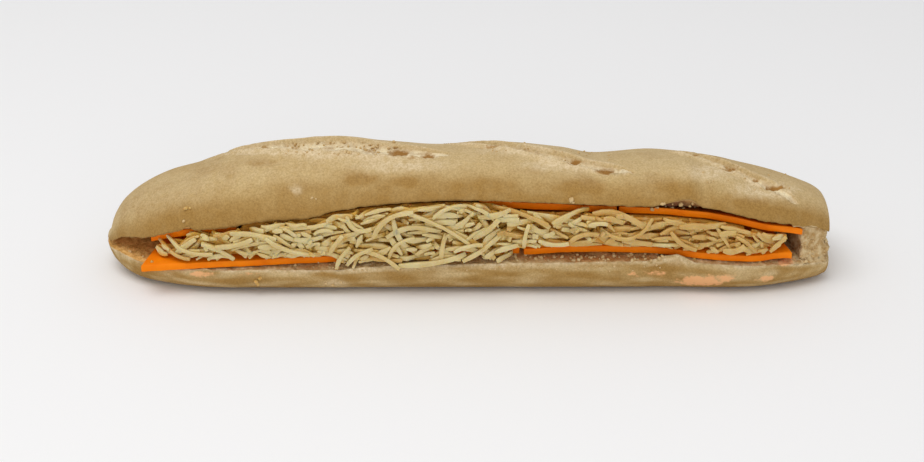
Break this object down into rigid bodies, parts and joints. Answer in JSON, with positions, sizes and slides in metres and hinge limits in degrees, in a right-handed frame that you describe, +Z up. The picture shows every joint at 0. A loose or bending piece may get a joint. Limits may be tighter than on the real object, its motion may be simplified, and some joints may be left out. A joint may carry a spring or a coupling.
{
  "type": "three cheese panini",
  "caption": "Long pale panini loaf split along its front and filled with orange cheese slices under and over a heap of grated cheese.",
  "frame": {"origin": "middle of the footprint, on the surface that the loaf rests on", "axes": "+X along the loaf, towards its blunt right end as seen from the open front; -Y out of the open front; +Z up"},
  "size_m": [0.2732, 0.066, 0.0505],
  "materials": {
    "crust": "floury pale baked crust with open crumb on the cut faces",
    "orange_cheese": "satin sliced cheese",
    "grated_cheese": "soft grated white and cream cheese"
  },
  "bodies": {
    "root": {"bread": "crust", "lower_slice_left": "orange_cheese", "lower_slice_middle": "orange_cheese", "lower_slice_right": "orange_cheese", "upper_slice_left": "orange_cheese", "upper_slice_middle": "orange_cheese", "upper_slice_right": "orange_cheese", "grated_cheese": "grated_cheese"}
  },
  "joints": []
}
